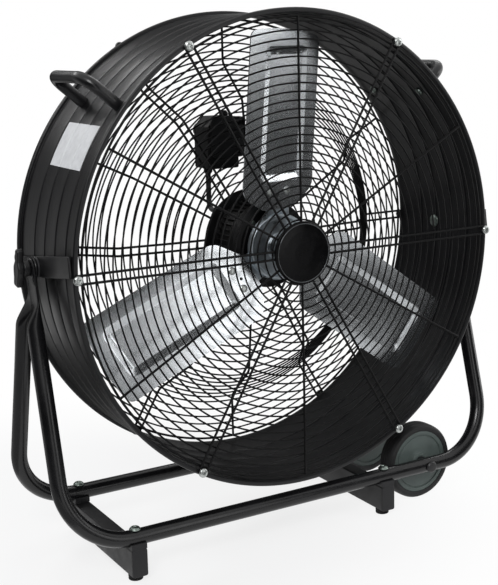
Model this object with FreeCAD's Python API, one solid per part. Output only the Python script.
import FreeCAD, Part
import math
import os

os.makedirs("parts", exist_ok=True)

# Drum fan on a tilting floor stand.  Millimetres, X across the fan, +Y to the rear, +Z up.
# The origin is on the floor, half way across the fan and half way along its depth.
# Until they are saved, all pieces are placed with the tilt axis over y = 0.

# ---------------------------------------------------------------- fits and gaps
fit = 0.05              # radial gap of a part fixed in a hole
running = 0.08          # radial gap of a part that turns in a hole
apart = 0.3             # gap between pieces that move past each other

# ---------------------------------------------------------------- drum
drum_radius = 325.0     # outside of the rolled sheet
drum_sheet = 2.0
drum_depth = 209.0
drum_sides = 54         # flats of the rolled sheet, one under every bracket and foot
pivot_back = 117.0      # tilt axis behind the front rim
rim_lip = 5.0           # how far the rolled rims stand out
rim_width = 8.0
bead_count = 4
bead_pitch = 37.4
bead_depth = 1.2
bead_width = 6.0

# ---------------------------------------------------------------- guards
wire = 3.4              # spoke and hoop wire
ring_base = 2.4         # ring wire, width of the face welded to the spokes
ring_height = 2.0
hub_ring = 45.0         # radius of the innermost front ring
ring_count = 24
fine_ring = 200.0       # rings above this radius are bent finer
last_gap = 6.7          # outermost ring to hoop
hoop_play = 0.4         # hoop corners inside the drum
hoop_sides = 24
pair_half = 5.5         # half the spacing of a hairpin's two wires
hub_plate_radius = 42.0
hub_plate_thick = 2.0
spoke_start = 34.0
dish_depth = 68.0       # how far the rear guard's middle is sunk
dish_rim = 255.0        # where the rear guard leaves the flat
dish_shoulder = 203.0
dish_floor = 120.0
dish_floor_rise = 2.0
dish_shoulder_rise = 12.0
plate_lap = 18.0        # rear spokes reach this far over the motor plate
screw_head = 6.5
screw_rise = 4.0

# ---------------------------------------------------------------- badge
badge_radius = 44.5
badge_face = 38.0
badge_rise = 5.0

# ---------------------------------------------------------------- stand
tube_radius = 11.0
tube_sides = 12
bend_radius = 90.0
tilt_room = 10.31       # drum's corner to the tube runs as it tilts
foot_spread = 99.0      # tube run from the tilt axis, front and rear
rail_height = 38.0
rail_width = 22.0
rail_wall = 1.6
rail_past = 11.0        # rail past the tube run
cap_thick = 2.5
cap_plug = 3.0
left_rail_inset = 93.3  # rail middle in from the leg's middle
right_rail_inset = 199.3
foot_height = 8.0
foot_radius = 10.0
foot_inset = 3.0
saddle_base = 2.0
saddle_half = 13.0
saddle_rise = 6.0
bolt_radius = 4.0
bolt_head = 8.0
bolt_rise = 4.5
nut_radius = 7.0
nut_thick = 5.0

# ---------------------------------------------------------------- pivots
strap_thick = 4.0
strap_half = 14.0
strap_inset = 2.0
strap_turn = 8.0        # degrees that the strap's front end is raised
washer_thick = 3.0
pivot_radius = 5.0
pivot_head = 10.0
pivot_head_rise = 4.0
flat_thick = 4.0        # crushed tube end
flat_half = 14.0
crush_length = 40.0
knob_reach = 28.0       # long wing, from the bolt
knob_short = 24.0       # short wing
knob_tip = 5.0          # half width of the long wing
knob_heel = 8.0         # half width of the short wing
knob_waist = 10.0       # half width at the bolt
knob_shoulder = 12.0    # where the wings leave the hub
knob_corner = 3.0
knob_turn = 11.0        # degrees that the wings lean
knob_thick = 9.4
knob_hub_radius = 11.0
knob_hub_length = 8.0
knob_roof = 3.0

# ---------------------------------------------------------------- wheels
wheel_lift = 0.5        # wheel clear of the floor
wheel_rail_gap = 12.5   # wheel clear of the rail
wheel_width = 30.0
wheel_sides = 20
wheel_spacer = 5.0
hub_radius = 48.0
hub_inset = 2.0
boss_radius = 13.0
tread_drop = 4.0
axle_radius = 5.0
axle_head = 9.0
axle_head_thick = 5.0
axle_collar = 9.0
axle_collar_thick = 3.0

# ---------------------------------------------------------------- handles
handle_tube = 8.0
handle_reach = 57.0     # grip centre outside the drum sheet
handle_span = 116.0
handle_bend = 22.0
handle_angle = 40.0     # above the tilt axis, both sides
left_handle_front = 24.0
right_handle_front = 59.0
handle_bolt_head = 6.5
handle_bolt_rise = 4.0

# ---------------------------------------------------------------- motor
plate_radius = 76.0
plate_thick = 3.0
motor_radius = 64.0
motor_length = 52.0
motor_cap = 8.0
motor_cap_radius = 52.0
shaft_radius = 7.0
shaft_seat = 34.0       # shaft inside the motor
motor_bolt_circle = 46.0
motor_bolt_head = 6.0
motor_bolt_rise = 4.0
motor_gap = 12.0        # hub disc ahead of the motor's front cap

# ---------------------------------------------------------------- impeller
blade_count = 3
first_blade = 90.0
blade_inset = 4.3       # blade root line behind the hub disc's face
blade_pitch = 10.0
blade_sheet = 2.0
blade_half = 63.0
blade_tip = 303.0
blade_root = 58.0
blade_root_half = 23.0
blade_shoulder = 96.0
blade_lean = 5.3
lean_radius = 80.0      # where the leaning centre line crosses the spoke line
corner_radius = 12.0
pocket_start = 92.0
pocket_end = 279.0
pocket_half = 39.5
pocket_shift = -4.0
pocket_depth = 4.0
pocket_slope = 4.0
hub_disc_radius = 48.0
hub_disc_thick = 12.0
arm_half = 21.0
arm_thick = 3.0
rivet_radius = 6.0
rivet_rise = 2.5
rivet_line = 79.0
rivet_half = 15.0
hub_nut_radius = 11.0
hub_nut_thick = 6.0
shaft_past_nut = 2.0

# ---------------------------------------------------------------- switch box
box_left = -72.0
box_width = 68.0
box_bottom = 104.0      # above the fan axis
box_height = 82.0
box_depth = 41.0
box_chamfer = 14.0
lid_thick = 3.0
mount_gap = 48.0        # mount plate ahead of the rear rim
mount_thick = 3.0
arm_width = 16.0
arm_drop = 36.0
speed_x = -38.0
speed_z = 158.0
spindle_radius = 3.0
spindle_length = 9.0
speed_knob_radius = 13.0
speed_knob_length = 14.0
gland_radius = 6.5
gland_length = 8.0
lead_radius = 3.0
lead_bend = 12.0
lead_x = -45.0
lead_drop = 44.0
inlet_x = -17.0

# ---------------------------------------------------------------- derived sizes
front = -pivot_back
rear = front + drum_depth
bore = drum_radius - drum_sheet
rim_radius = drum_radius + rim_lip
hoop_out = (bore - hoop_play) * math.cos(math.pi / hoop_sides)
hoop_in = hoop_out - wire
ring_step = (hoop_in + wire / 2.0 - last_gap - hub_ring) / (ring_count - 1)
screw_circle = drum_radius

strap_out = rim_radius + strap_thick
flat_in = strap_out + washer_thick + apart
leg_x = flat_in + tube_radius
flat_out = flat_in + 2.0 * flat_thick
run_height = foot_height + rail_height + saddle_base + tube_radius
slant = math.hypot(rim_radius, pivot_back) + tilt_room + tube_radius
axis_height = run_height + math.sqrt(slant ** 2 - foot_spread ** 2)
lean = math.degrees(math.atan2(foot_spread, axis_height - run_height))
flat_end = (flat_half + 1.0) / math.sin(math.radians(lean))

motor_back = rear - dish_depth - plate_thick
motor_front = motor_back - motor_length
cap_front = motor_front - motor_cap
disc_back = cap_front - motor_gap
disc_front = disc_back - hub_disc_thick
blade_plane = disc_front + blade_inset
mount_front = rear - mount_gap - mount_thick
box_front = rear - mount_gap
lid_front = box_front + box_depth
lid_back = lid_front + lid_thick
wheel_radius = run_height - wheel_lift
left_rail_x = left_rail_inset - leg_x
right_rail_x = leg_x - right_rail_inset
wheel_x = right_rail_x + rail_width / 2.0 + wheel_rail_gap + wheel_radius
front_most = front - wire - badge_rise
rear_most = foot_spread + tube_radius + fit + axle_head_thick
middle = (front_most + rear_most) / 2.0

V = FreeCAD.Vector


# ---------------------------------------------------------------- helpers
def block(x0, x1, y0, y1, z0, z1):
    return Part.makeBox(x1 - x0, y1 - y0, z1 - z0, V(x0, y0, z0))


def rod_x(radius, x0, x1, y=0.0, z=0.0):
    return Part.makeCylinder(radius, x1 - x0, V(x0, y, z), V(1, 0, 0))


def rod_y(radius, y0, y1, x=0.0, z=0.0):
    return Part.makeCylinder(radius, y1 - y0, V(x, y0, z), V(0, 1, 0))


def rod_z(radius, z0, z1, x=0.0, y=0.0):
    return Part.makeCylinder(radius, z1 - z0, V(x, y, z0), V(0, 0, 1))


def outline(points):
    return Part.Face(Part.makePolygon(points + [points[0]]))


def slab_xz(points, y0, y1):
    return outline([V(x, y0, z) for x, z in points]).extrude(V(0, y1 - y0, 0))


def closed(faces):
    shell = Part.makeShell(faces)
    shell.sewShape()
    solid = Part.Solid(shell)
    if solid.Volume < 0:
        solid.reverse()
    return solid


def faceted(points, sides, inscribed=False):
    # turned form with flat sides, a side's middle at every whole share of the circle
    reach = 1.0 if inscribed else 1.0 / math.cos(math.pi / sides)
    rows = []
    for i in range(sides + 1):
        turn_by = 2.0 * math.pi * ((i % sides) - 0.5) / sides
        c = math.cos(turn_by) * reach
        s = math.sin(turn_by) * reach
        rows.append([V(r * c, y, r * s) for r, y in points])
    faces = []
    count = len(points)
    for j in range(count):
        k = (j + 1) % count
        r0 = points[j][0]
        r1 = points[k][0]
        if r0 == 0 and r1 == 0:
            continue
        if r0 == 0 or r1 == 0:
            edge = k if r0 == 0 else j
            faces.append(outline([rows[i][edge] for i in range(sides)]))
            continue
        for i in range(sides):
            faces.append(outline([rows[i][j], rows[i][k], rows[i + 1][k], rows[i + 1][j]]))
    return closed(faces)


def stud(radius, low, high, sides, axis="y", place=(0, 0, 0), top=None):
    # bar, bolt or screw head with flat sides; top gives it another radius at its far end
    far = radius if top is None else top
    solid = faceted([(0, low), (radius, low), (far, high), (0, high)], sides, True)
    if axis == "x":
        solid.rotate(V(0, 0, 0), V(0, 0, 1), -90)
    if axis == "z":
        solid.rotate(V(0, 0, 0), V(1, 0, 0), 90)
    solid.translate(V(*place))
    return solid


def socket(radius, low, high, sides, axis="y", place=(0, 0, 0)):
    # hole for a turning bar: its flats stay outside the radius
    return stud(radius / math.cos(math.pi / sides), low, high, sides, axis, place)


def kinks(centre, radius, start, end, count):
    # corners of a quarter bend whose sides touch the bend's arc
    points = []
    for i in range(count):
        a = math.pi / 2.0 * (i + 0.5) / count
        reach = radius / math.cos(math.pi / 4.0 / count)
        points.append(centre + start * (math.cos(a) * reach) + end * (math.sin(a) * reach))
    return points


def tube_row(path, i, radius, across, sides, phase):
    last = len(path) - 1
    before = path[max(i, 1)] - path[max(i, 1) - 1]
    after = path[min(i, last - 1) + 1] - path[min(i, last - 1)]
    before.normalize()
    after.normalize()
    along = (before + after).normalize()
    side = along.cross(across)
    reach = radius / math.cos(math.pi / sides)
    wide = reach / along.dot(after)
    row = []
    for k in range(sides):
        a = 2.0 * math.pi * (k + phase) / sides
        row.append(path[i] + side * (math.cos(a) * wide) + across * (math.sin(a) * reach))
    return row


def bent_tube(path, radius, across, sides, phase=0.5):
    # round tube with flat sides along a path that lies in one plane
    rows = [tube_row(path, i, radius, across, sides, phase) for i in range(len(path))]
    faces = [outline(rows[0]), outline(rows[-1])]
    for i in range(len(path) - 1):
        for k in range(sides):
            n = (k + 1) % sides
            faces.append(outline([rows[i][k], rows[i][n], rows[i + 1][n], rows[i + 1][k]]))
    return closed(faces)


def clipped(points, radius, rounded):
    # outline in which the listed corners are cut by two short sides in place of an arc
    result = []
    total = len(points)
    for i in range(total):
        corner = V(points[i][0], 0, points[i][1])
        if i not in rounded:
            result.append(points[i])
            continue
        before = V(points[i - 1][0], 0, points[i - 1][1])
        after = V(points[(i + 1) % total][0], 0, points[(i + 1) % total][1])
        a = (before - corner).normalize()
        b = (after - corner).normalize()
        half = a.getAngle(b) / 2.0
        middle = (a + b).normalize() * (radius / math.sin(half) - radius)
        for spot in (corner + a * (radius / math.tan(half)), corner + middle,
                     corner + b * (radius / math.tan(half))):
            result.append((spot.x, spot.z))
    return result


def turn(shape, angle):
    # round the fan axis, counter-clockwise from the front
    piece = shape.copy()
    piece.rotate(V(0, 0, 0), V(0, -1, 0), angle)
    return piece


def radial_slab(points, width, angle, aside=0.0):
    # outline in (radius, y), extruded across its spoke line
    low = aside - width / 2.0
    return turn(outline([V(r, y, low) for r, y in points]).extrude(V(0, 0, width)), angle)


def mirror_x(shape):
    return shape.mirror(V(0, 0, 0), V(1, 0, 0))


def save(name, pieces, height=0.0):
    shape = pieces[0] if len(pieces) == 1 else Part.makeCompound(pieces)
    shape = shape.copy()
    shape.translate(V(0, -middle, height))
    shape.exportStep("parts/" + name + ".step")


# ---------------------------------------------------------------- stand frames
# Each frame is one round tube bent into a U.  Its two ends are crushed flat and drilled
# for the pivot; the frames lean apart and their flats lie one on the other.
def frame_end(layer, row):
    # crushed end: a drilled flat, and a wedge that grows into the tube's end row
    inner = flat_in + layer * flat_thick
    outer = inner + flat_thick
    flat = block(inner, outer, -flat_half, flat_half, -flat_end, 0)
    flat = flat.fuse(stud(flat_half, inner, outer, 16, "x"))
    corners = [V(outer, flat_half, -flat_end), V(inner, flat_half, -flat_end),
               V(inner, -flat_half, -flat_end), V(outer, -flat_half, -flat_end)]
    faces = [outline(corners), outline(row)]
    share = len(row) // 4
    for i in range(4):
        for k in range(i * share, (i + 1) * share):
            faces.append(outline([row[k], row[(k + 1) % len(row)], corners[i]]))
        faces.append(outline([row[(i + 1) * share % len(row)], corners[(i + 1) % 4], corners[i]]))
    return flat.fuse(closed(faces))


def stand_frame(layer, side):
    tube_top = -flat_end - crush_length
    low = bend_radius - slant
    across = V(0, 1, 0)
    right = V(leg_x - bend_radius, 0, low)
    left = V(bend_radius - leg_x, 0, low)
    path = [V(leg_x, 0, tube_top)]
    path += kinks(right, bend_radius, V(1, 0, 0), V(0, 0, -1), 5)
    path += kinks(left, bend_radius, V(0, 0, -1), V(-1, 0, 0), 5)
    path += [V(-leg_x, 0, tube_top)]
    end = frame_end(layer, tube_row(path, 0, tube_radius, across, tube_sides, 0.0))
    frame = bent_tube(path, tube_radius, across, tube_sides, 0.0)
    frame = frame.multiFuse([end, mirror_x(end)]).removeSplitter()
    frame = frame.cut(rod_x(pivot_radius + running, -leg_x, leg_x))
    frame.rotate(V(0, 0, 0), V(1, 0, 0), side * lean)
    frame.translate(V(0, 0, axis_height))
    for x in (left_rail_x, right_rail_x):
        spot = (x, side * foot_spread, 0)
        frame = frame.cut(socket(bolt_radius + fit, 0, axis_height / 2.0, 8, "z", spot))
    spot = (wheel_x, side * foot_spread, run_height)
    return frame.cut(socket(axle_radius + fit, -3 * tube_radius, 3 * tube_radius, 12, "y", spot))


save("front_frame", [stand_frame(1, -1)])
save("rear_frame", [stand_frame(0, 1)])

# ---------------------------------------------------------------- rails, caps, feet
# Rectangular tubes on edge tie the two frames together and carry the rubber feet.
rail_half = foot_spread + rail_past
rail_top = foot_height + rail_height


def rail(x):
    half = rail_width / 2.0
    outside = block(x - half, x + half, -rail_half, rail_half, foot_height, rail_top)
    inside = block(x - half + rail_wall, x + half - rail_wall, -rail_half, rail_half,
                   foot_height + rail_wall, rail_top - rail_wall)
    tube = outside.cut(inside)
    for y in (-foot_spread, foot_spread):
        hole = socket(bolt_radius + fit, rail_top - 2 * rail_wall, rail_top + 1, 8, "z", (x, y, 0))
        tube = tube.cut(hole)
    return tube


def end_cap(x, side):
    half = rail_width / 2.0
    ends = sorted([side * rail_half, side * (rail_half + cap_thick)])
    cover = block(x - half, x + half, ends[0], ends[1], foot_height, rail_top)
    ends = sorted([side * rail_half, side * (rail_half - cap_plug)])
    inset = rail_wall + fit
    plug = block(x - half + inset, x + half - inset, ends[0], ends[1],
                 foot_height + inset, rail_top - inset)
    return cover.fuse(plug)


save("left_rail", [rail(left_rail_x)])
save("right_rail", [rail(right_rail_x)])


def leant(shape, y, side):
    # turned about the tube run the way its frame leans
    piece = shape.copy()
    piece.rotate(V(0, y, run_height), V(1, 0, 0), side * lean)
    return piece


caps = []
feet = []
saddles = []
bolts = []
for x in (left_rail_x, right_rail_x):
    for side in (-1, 1):
        y = side * foot_spread
        caps.append(end_cap(x, side))
        spot = (x, side * (foot_spread - foot_inset), 0)
        feet.append(stud(foot_radius, 0, foot_height, 12, "z", spot))
        half = rail_width / 2.0
        seat_top = rail_top + saddle_base + saddle_rise
        seat = block(x - half, x + half, y - saddle_half, y + saddle_half, rail_top, seat_top)
        line = [V(x - rail_width, y, run_height), V(x + rail_width, y, run_height)]
        seat = seat.cut(leant(bent_tube(line, tube_radius, V(0, 1, 0), tube_sides, 0.0), y, side))
        saddles.append(seat.cut(socket(bolt_radius + fit, 0, run_height, 8, "z", (x, y, 0))))
        head_low = run_height + tube_radius + fit
        nut_low = rail_top - rail_wall - nut_thick
        shank = stud(bolt_radius, nut_low, head_low, 8, "z", (x, y, 0))
        head = stud(bolt_head, head_low, head_low + bolt_rise, 12, "z", (x, y, 0), bolt_head / 2.0)
        nut = stud(nut_radius, nut_low, rail_top - rail_wall, 6, "z", (x, y, 0))
        bolts.append(head.multiFuse([shank, nut]).removeSplitter())
save("rail_end_caps", caps)
save("rubber_feet", feet)
save("tube_saddles", saddles)
save("frame_bolts", bolts)

# ---------------------------------------------------------------- wheels and axles
# Each wheel turns on a shouldered axle that passes through its frame's bottom run.
wheel_near = foot_spread - tube_radius - wheel_spacer
wheel_far = wheel_near - wheel_width
wheel_mid = (wheel_near + wheel_far) / 2.0
half_width = wheel_width / 2.0


def placed_wheel(shape, side):
    piece = shape.copy()
    piece.translate(V(wheel_x, side * wheel_mid, run_height))
    return piece


tyre = faceted([(hub_radius, -half_width), (wheel_radius - tread_drop, -half_width),
                (wheel_radius, tread_drop - half_width), (wheel_radius, half_width - tread_drop),
                (wheel_radius - tread_drop, half_width), (hub_radius, half_width)],
               wheel_sides, True)
web_half = half_width - hub_inset
hub = faceted([(0, -half_width), (boss_radius, -half_width), (boss_radius, -web_half),
               (hub_radius, -web_half), (hub_radius, web_half), (boss_radius, web_half),
               (boss_radius, half_width), (0, half_width)], wheel_sides, True)
hub = hub.cut(socket(axle_radius + running, -wheel_width, wheel_width, 16))

axles = []
head_at = foot_spread + tube_radius + fit
collar_at = foot_spread - tube_radius - fit
tip_at = wheel_far - apart - axle_collar_thick
for side in (-1, 1):
    name = "front" if side < 0 else "rear"
    save(name + "_wheel_tyre", [placed_wheel(tyre, side)])
    save(name + "_wheel_hub", [placed_wheel(hub, side)])
    steps = [(0, tip_at), (axle_collar, tip_at), (axle_collar, wheel_far - apart),
             (axle_radius, wheel_far - apart), (axle_radius, wheel_near + apart),
             (axle_collar, wheel_near + apart), (axle_collar, collar_at),
             (axle_radius, collar_at), (axle_radius, head_at), (axle_head, head_at),
             (axle_head, head_at + axle_head_thick), (0, head_at + axle_head_thick)]
    axle = faceted([(r, side * y) for r, y in steps], 8, True)
    axle.translate(V(wheel_x, 0, run_height))
    axles.append(axle)
save("wheel_axles", axles)

# ---------------------------------------------------------------- drum shell
# Rolled sheet with pressed beads round it and a rolled rim at each end.
profile = [(bore, front), (rim_radius, front), (rim_radius, front + rim_width),
           (drum_radius, front + rim_width)]
for i in range(bead_count):
    y = front + bead_pitch * (i + 1)
    profile.append((drum_radius, y - bead_width / 2.0))
    profile.append((drum_radius - bead_depth, y))
    profile.append((drum_radius, y + bead_width / 2.0))
profile += [(drum_radius, rear - rim_width), (rim_radius, rear - rim_width),
            (rim_radius, rear), (bore, rear)]
shell = faceted(profile, drum_sides).cut(rod_x(pivot_radius + fit, -rim_radius, rim_radius))
save("drum_shell", [shell], axis_height)

# ---------------------------------------------------------------- pivots
bolt_hole = socket(pivot_radius + fit, 0, leg_x * 2.0, 12, "x")
strap = block(rim_radius, strap_out, front + strap_inset, rear - strap_inset,
              -strap_half, strap_half)
strap.rotate(V(0, 0, 0), V(1, 0, 0), -strap_turn)
boss = stud(strap_half, drum_radius, rim_radius, 16, "x")
bracket = strap.fuse(boss).cut(bolt_hole)
save("right_pivot_bracket", [bracket], axis_height)
save("left_pivot_bracket", [mirror_x(bracket)], axis_height)

washer = stud(strap_half, strap_out, strap_out + washer_thick, 16, "x").cut(bolt_hole)
save("pivot_washers", [washer, mirror_x(washer)], axis_height)

knob_low = flat_out + apart
knob_high = knob_low + knob_hub_length + knob_thick
bolt_end = knob_high - knob_roof
shank = rod_x(pivot_radius, bore - pivot_head_rise, bolt_end - 1.0)
head = stud(pivot_head, bore - pivot_head_rise, bore, 12, "x")
pivot_bolt = shank.fuse(head).removeSplitter()
save("pivot_bolts", [pivot_bolt, mirror_x(pivot_bolt)], axis_height)


def knob_outline():
    side = [(knob_tip - knob_corner, knob_reach), (knob_tip, knob_reach - knob_corner),
            (knob_tip, knob_shoulder), (knob_waist, knob_corner), (knob_waist, -knob_corner),
            (knob_heel, -knob_shoulder), (knob_heel, knob_corner - knob_short),
            (knob_heel - knob_corner, -knob_short)]
    side += [(-y, z) for y, z in side[::-1]]
    a = math.radians(knob_turn)
    return [(y * math.cos(a) - z * math.sin(a), y * math.sin(a) + z * math.cos(a))
            for y, z in side]


grip = outline([V(knob_low + knob_hub_length, y, z) for y, z in knob_outline()])
grip = grip.extrude(V(knob_thick, 0, 0))
knob = grip.fuse(stud(knob_hub_radius, knob_low, knob_low + knob_hub_length, 16, "x"))
knob = knob.cut(socket(pivot_radius + running, knob_low, bolt_end, 16, "x"))
save("right_clamp_knob", [knob], axis_height)
save("left_clamp_knob", [mirror_x(knob)], axis_height)

# ---------------------------------------------------------------- carrying handles
# Bent round tube whose two legs stand on the drum, bolted through from inside.


def handle(angle, first):
    grip_line = drum_radius + handle_reach
    y0 = front + first
    y1 = y0 + handle_span
    leg_top = grip_line - handle_bend
    path = [V(drum_radius, y0, 0)]
    path += kinks(V(leg_top, y0 + handle_bend, 0), handle_bend, V(0, -1, 0), V(1, 0, 0), 4)
    path += kinks(V(leg_top, y1 - handle_bend, 0), handle_bend, V(1, 0, 0), V(0, 1, 0), 4)
    path += [V(drum_radius, y1, 0)]
    tube = bent_tube(path, handle_tube, V(0, 0, 1), 8)
    heads = []
    for y in (y0, y1):
        head = stud(handle_bolt_head, bore - handle_bolt_rise, bore, 8, "x", (0, y, 0))
        heads.append(turn(head, angle))
    return turn(tube, angle), heads


left_handle, left_heads = handle(180.0 - handle_angle, left_handle_front)
right_handle, right_heads = handle(handle_angle, right_handle_front)
save("carry_handles", [left_handle, right_handle], axis_height)
save("handle_bolts", left_heads + right_heads, axis_height)

# ---------------------------------------------------------------- guards
# Spokes are straight wires outside; every ring is welded flat on their inner faces.
# At every sixth of the circle the spoke is a hairpin whose end loops round a rim screw.
loop_in = screw_circle + 2.3
loop_out = loop_in + wire


def sides_for(radius):
    return 12 if radius < fine_ring else 24


def line_offset(points, gap):
    # the same line moved square to itself by gap, with mitred corners
    moved = []
    last = len(points) - 1
    for i in range(last + 1):
        normals = []
        for a, b in ((i - 1, i), (i, i + 1)):
            if a < 0 or b > last:
                continue
            dr = points[b][0] - points[a][0]
            dy = points[b][1] - points[a][1]
            size = math.hypot(dr, dy)
            normals.append((dy / size, -dr / size))
        nr = sum(n[0] for n in normals) / len(normals)
        ny = sum(n[1] for n in normals) / len(normals)
        scale = gap / (nr * nr + ny * ny)
        moved.append((points[i][0] + nr * scale, points[i][1] + ny * scale))
    return moved


def spoke(line, thickness, angle, aside=0.0):
    # positive thickness lies ahead of the line, negative behind it
    return radial_slab(line + line_offset(line, thickness)[::-1], wire, angle, aside)


def ring_on(start, end, share):
    # section of a ring whose flat base lies on the line from start to end
    r = start[0] + (end[0] - start[0]) * share
    y = start[1] + (end[1] - start[1]) * share
    size = math.hypot(end[0] - start[0], end[1] - start[1])
    dr = (end[0] - start[0]) / size
    dy = (end[1] - start[1]) / size
    half = ring_base / 2.0
    return [(r - dr * half, y - dy * half), (r + dr * half, y + dy * half),
            (r + dy * ring_height, y - dr * ring_height)]


def rim_screw(base, toward, angle):
    ends = sorted([base, base + toward * screw_rise])
    radii = (screw_head, screw_head * 0.55) if toward > 0 else (screw_head * 0.55, screw_head)
    head = stud(radii[0], ends[0], ends[1], 8, "y", (screw_circle, 0, 0), radii[1])
    return turn(head, angle)


def guard_spokes(line, thickness):
    # line runs outward and ends over the hoop; hairpins go on to the rim screws
    pieces = []
    longer = line[:-1] + [(loop_out, line[-1][1])]
    low, high = sorted([line[-1][1], line[-1][1] - thickness])
    loop = [(loop_in, low), (loop_out, low), (loop_out, high), (loop_in, high)]
    for i in range(6):
        pair = [spoke(longer, thickness, 60.0 * i, side * pair_half) for side in (-1, 1)]
        tie = radial_slab(loop, 2 * pair_half + wire, 60.0 * i)
        pieces.append(pair[0].multiFuse([pair[1], tie]).removeSplitter())
        pieces.append(spoke(line, thickness, 60.0 * i + 30.0))
    return pieces


def guard_hoop(y0, y1):
    return faceted([(hoop_in, y0), (hoop_out, y0), (hoop_out, y1), (hoop_in, y1)], hoop_sides)


# front guard, flat
front_line = [(spoke_start, front), (hoop_out, front)]
save("front_guard_spokes", guard_spokes(front_line, wire), axis_height)
save("front_guard_hoop", [guard_hoop(front, front + wire)], axis_height)
hub_plate = faceted([(0, front), (hub_plate_radius, front),
                     (hub_plate_radius, front + hub_plate_thick), (0, front + hub_plate_thick)], 24)
save("front_hub_plate", [hub_plate], axis_height)
rings = []
for i in range(ring_count):
    r = hub_ring + ring_step * i
    section = [(r - ring_base / 2.0, front), (r + ring_base / 2.0, front), (r, front + ring_height)]
    rings.append(faceted(section, sides_for(r)))
save("front_guard_rings", rings, axis_height)
screws = [rim_screw(front - wire, -1, 60.0 * i) for i in range(6)]
save("front_guard_screws", screws, axis_height)

# rear guard, dished inward so that its middle carries the motor
dish_flat = plate_radius + 4.0
dish_low = rear - dish_depth
rear_line = [(plate_radius - plate_lap, dish_low), (dish_flat, dish_low),
             (dish_floor, dish_low + dish_floor_rise),
             (dish_shoulder, dish_low + dish_shoulder_rise),
             (dish_rim, rear), (hoop_out, rear)]
save("rear_guard_spokes", guard_spokes(rear_line, -wire), axis_height)
save("rear_guard_hoop", [guard_hoop(rear - wire, rear)], axis_height)
rings = []
for index, count, short in ((1, 3, 0.0), (2, 7, 0.0), (3, 7, 0.0), (4, 5, last_gap / 2.0)):
    start = rear_line[index]
    end = rear_line[index + 1]
    if index == 4:
        end = (hoop_in - short, end[1])
    for i in range(count):
        section = ring_on(start, end, (i + 0.5) / count)
        rings.append(faceted(section, sides_for(section[0][0])))
save("rear_guard_rings", rings, axis_height)
screws = [rim_screw(rear + wire, 1, 60.0 * i) for i in range(6)]
save("rear_guard_screws", screws, axis_height)

# ---------------------------------------------------------------- badge
# Plain domed disc over the front guard's hub, inside a turned trim ring.
badge_back = front - wire
face_line = badge_back - badge_rise
badge = faceted([(0, badge_back), (badge_radius, badge_back), (badge_radius, badge_back - 3.0),
                 (badge_face, face_line), (0, face_line)], 24, True)
save("badge", [badge], axis_height)

# ---------------------------------------------------------------- motor
# The motor stands on a plate at the middle of the rear guard and turns the blades directly.
motor_plate = stud(plate_radius, motor_back, motor_back + plate_thick, 24)
save("motor_plate", [motor_plate], axis_height)
seat_end = motor_front + shaft_seat
bore_radius = shaft_radius + running
housing = stud(motor_radius, motor_front, motor_back, 24)
housing = housing.cut(socket(bore_radius, motor_front - 1.0, seat_end + 1.0, 16))
save("motor_housing", [housing], axis_height)
cap = stud(motor_cap_radius, cap_front, motor_front, 24, top=motor_radius)
cap = cap.cut(socket(bore_radius, cap_front - 1.0, motor_front + 1.0, 16))
save("motor_front_cap", [cap], axis_height)
bolts = []
for i in range(4):
    angle = 45.0 + 90.0 * i
    for base, toward in ((cap_front, -1), (motor_back + plate_thick, 1)):
        ends = sorted([base, base + toward * motor_bolt_rise])
        corners = []
        for k in range(6):
            a = math.radians(60.0 * k)
            corners.append((motor_bolt_circle + motor_bolt_head * math.cos(a),
                            motor_bolt_head * math.sin(a)))
        bolts.append(turn(slab_xz(corners, ends[0], ends[1]), angle))
save("motor_bolts", bolts, axis_height)

# ---------------------------------------------------------------- impeller
nut_front = disc_front - hub_nut_thick
shaft = stud(shaft_radius, nut_front - shaft_past_nut, seat_end, 16)
save("motor_shaft", [shaft], axis_height)
hexagon = []
for k in range(6):
    a = math.radians(60.0 * k + 30.0)
    hexagon.append((hub_nut_radius * math.cos(a), hub_nut_radius * math.sin(a)))
shaft_hole = stud(shaft_radius + fit, nut_front - 5.0, disc_back + 5.0, 16)
hub_nut = slab_xz(hexagon, nut_front, disc_front).cut(shaft_hole)
save("hub_nut", [hub_nut], axis_height)


def lean_at(r):
    return (lean_radius - r) * math.tan(math.radians(blade_lean))


def pitched(shape, angle):
    # from the flat of the blade to its place on the hub
    piece = shape.copy()
    piece.rotate(V(0, 0, 0), V(1, 0, 0), blade_pitch)
    piece.translate(V(0, blade_plane, 0))
    return turn(piece, angle)


half_sheet = blade_sheet / 2.0
upper = lean_at(blade_tip) + blade_half
lower = lean_at(blade_tip) - blade_half
tip_mid = (upper + lower) / 2.0
blade_points = [
    (blade_root, lean_at(blade_root) + blade_root_half),
    (blade_shoulder, lean_at(blade_shoulder) + blade_half),
    (math.sqrt(blade_tip ** 2 - upper ** 2), upper),
    (math.sqrt(blade_tip ** 2 - tip_mid ** 2), tip_mid),
    (math.sqrt(blade_tip ** 2 - lower ** 2), lower),
    (blade_shoulder, lean_at(blade_shoulder) - blade_half),
    (blade_root, lean_at(blade_root) - blade_root_half)]


def pocket_outline(inset, y):
    points = []
    for r, side in ((pocket_start + inset, 1), (pocket_end - inset, 1),
                    (pocket_end - inset, -1), (pocket_start + inset, -1)):
        points.append((r, lean_at(r) + pocket_shift + side * (pocket_half - inset)))
    return [V(x, y, z) for x, z in clipped(points, corner_radius - inset, range(4))]


def pocket(depth, grow):
    # pressed pan: depth below the blade's front, grown all round for its outer skin
    wide = pocket_outline(-grow, -half_sheet)
    narrow = pocket_outline(pocket_slope - grow, depth - half_sheet)
    faces = [outline(wide), outline(narrow)]
    for i in range(len(wide)):
        n = (i + 1) % len(wide)
        faces.append(outline([wide[i], wide[n], narrow[n], narrow[i]]))
    return closed(faces)


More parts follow.
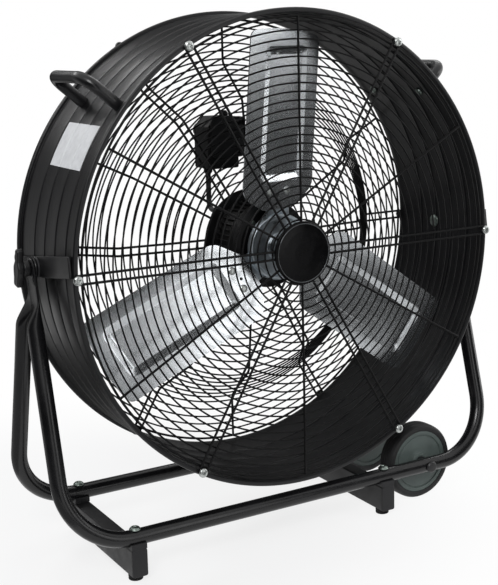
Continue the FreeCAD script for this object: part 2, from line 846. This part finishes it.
plate = slab_xz(clipped(blade_points, corner_radius, (1, 2, 4, 5)), -half_sheet, half_sheet)
blade = plate.fuse(pocket(pocket_depth + blade_sheet, blade_sheet)).cut(pocket(pocket_depth, 0))
blade = blade.removeSplitter()
blade_angles = [first_blade + 360.0 * i / blade_count for i in range(blade_count)]
rivets = []
spider = stud(hub_disc_radius, disc_front, disc_back, 24)
for i in range(blade_count):
    angle = blade_angles[i]
    save("blade_" + str(i + 1), [pitched(blade, angle)], axis_height)
    arm = block(0, pocket_start - blade_sheet - 3.0, half_sheet, half_sheet + arm_thick, -arm_half, arm_half)
    spider = spider.fuse(pitched(arm, angle))
    for across in (-rivet_half, rivet_half):
        head = stud(rivet_radius * 0.6, -half_sheet - rivet_rise, -half_sheet, 8, "y",
                    (rivet_line, 0, across), rivet_radius)
        rivets.append(pitched(head, angle))
spider = spider.removeSplitter().cut(shaft_hole)
save("hub_spider", [spider], axis_height)
save("blade_rivets", rivets, axis_height)

# ---------------------------------------------------------------- switch box
# Hangs in the dish of the rear guard on a plate whose feet stand on the spokes.
dish_run = dish_shoulder - dish_floor
dish_climb = dish_shoulder_rise - dish_floor_rise
back_rise = wire * math.hypot(dish_run, dish_climb) / dish_run


def spoke_back(r):
    share = (r - dish_floor) / dish_run
    return dish_low + dish_floor_rise + dish_climb * share + back_rise


def mount_foot(r0, r1, width, angle):
    points = [(r0, spoke_back(r0)), (r1, spoke_back(r1)), (r1, mount_front), (r0, mount_front)]
    return radial_slab(points, width, angle)


box_right = box_left + box_width
box_top = box_bottom + box_height
mount_back = mount_front + mount_thick
arm_z = box_bottom + arm_drop
arm_end = -(arm_z + arm_width / 2.0) / math.tan(math.radians(60.0)) - pair_half * 2.0
mount = block(box_left + 4.0, 6.0, mount_front, mount_back, box_bottom + 16.0, box_top)
mount = mount.fuse(block(arm_end, box_left + 5.0, mount_front, mount_back, arm_z, arm_z + arm_width))
low_foot = mount_foot(box_bottom + 20.0, box_bottom + 32.0, 8.0, 90.0)
high_foot = mount_foot(box_top - 14.0, box_top - 2.0, 8.0, 90.0)
pair_reach = (arm_z + arm_width / 2.0) / math.sin(math.radians(60.0))
pair_foot = mount_foot(pair_reach - 5.0, pair_reach + 3.0, 2 * pair_half, 120.0)
mount = mount.multiFuse([low_foot, high_foot, pair_foot]).removeSplitter()
save("switch_box_mount", [mount], axis_height)

box_points = [(box_left, box_bottom), (box_right, box_bottom), (box_right, box_top),
              (box_left + box_chamfer, box_top), (box_left, box_top - box_chamfer)]
save("switch_box", [slab_xz(box_points, box_front, lid_front)], axis_height)
lid = slab_xz(box_points, lid_front, lid_back)
lid = lid.fuse(stud(spindle_radius, lid_back, lid_back + spindle_length, 16, "y",
                    (speed_x, 0, speed_z)))
save("switch_box_lid", [lid], axis_height)
screws = []
edge = 9.0
for x, z in ((box_left + edge, box_bottom + edge), (box_right - edge, box_bottom + edge),
             (box_right - edge, box_top - edge), (box_left + edge, box_top - box_chamfer - edge)):
    screws.append(stud(3.5, lid_back, lid_back + 1.8, 8, "y", (x, 0, z), 2.2))
save("lid_screws", screws, axis_height)

knob_front = lid_back + apart
knob = faceted([(0, knob_front), (speed_knob_radius, knob_front),
                (speed_knob_radius * 0.86, knob_front + speed_knob_length),
                (0, knob_front + speed_knob_length)], 24)
knob.translate(V(speed_x, 0, speed_z))
pointer = block(speed_x - 1.5, speed_x + 1.5, knob_front + speed_knob_length - 2.0,
                knob_front + speed_knob_length + 2.5, speed_z - 2.0,
                speed_z + speed_knob_radius * 0.8)
bore_end = lid_back + spindle_length + 1.0
bore_hole = socket(spindle_radius + running, lid_back, bore_end, 16, "y", (speed_x, 0, speed_z))
knob = knob.fuse(pointer).cut(bore_hole)
save("speed_knob", [knob], axis_height)

# ---------------------------------------------------------------- glands and motor lead
lead_y = (box_front + lid_front) / 2.0
plate_back = motor_back + plate_thick
lead_low = lead_drop + lead_bend
spot = (inlet_x, lead_y, 0)
inlet = stud(gland_radius, box_top, box_top + gland_length, 12, "z", spot)
spot = (lead_x, lead_y, 0)
box_gland = stud(gland_radius, box_bottom - gland_length, box_bottom, 12, "z", spot)
spot = (lead_x, 0, lead_drop)
motor_gland = stud(gland_radius, plate_back, plate_back + gland_length, 12, "y", spot)
save("cable_glands", [inlet, box_gland, motor_gland], axis_height)
path = [V(lead_x, lead_y, box_bottom - gland_length)]
path += kinks(V(lead_x, lead_y - lead_bend, lead_low), lead_bend, V(0, 1, 0), V(0, 0, -1), 4)
path += [V(lead_x, plate_back + gland_length, lead_drop)]
save("motor_lead", [bent_tube(path, lead_radius, V(1, 0, 0), 6)], axis_height)
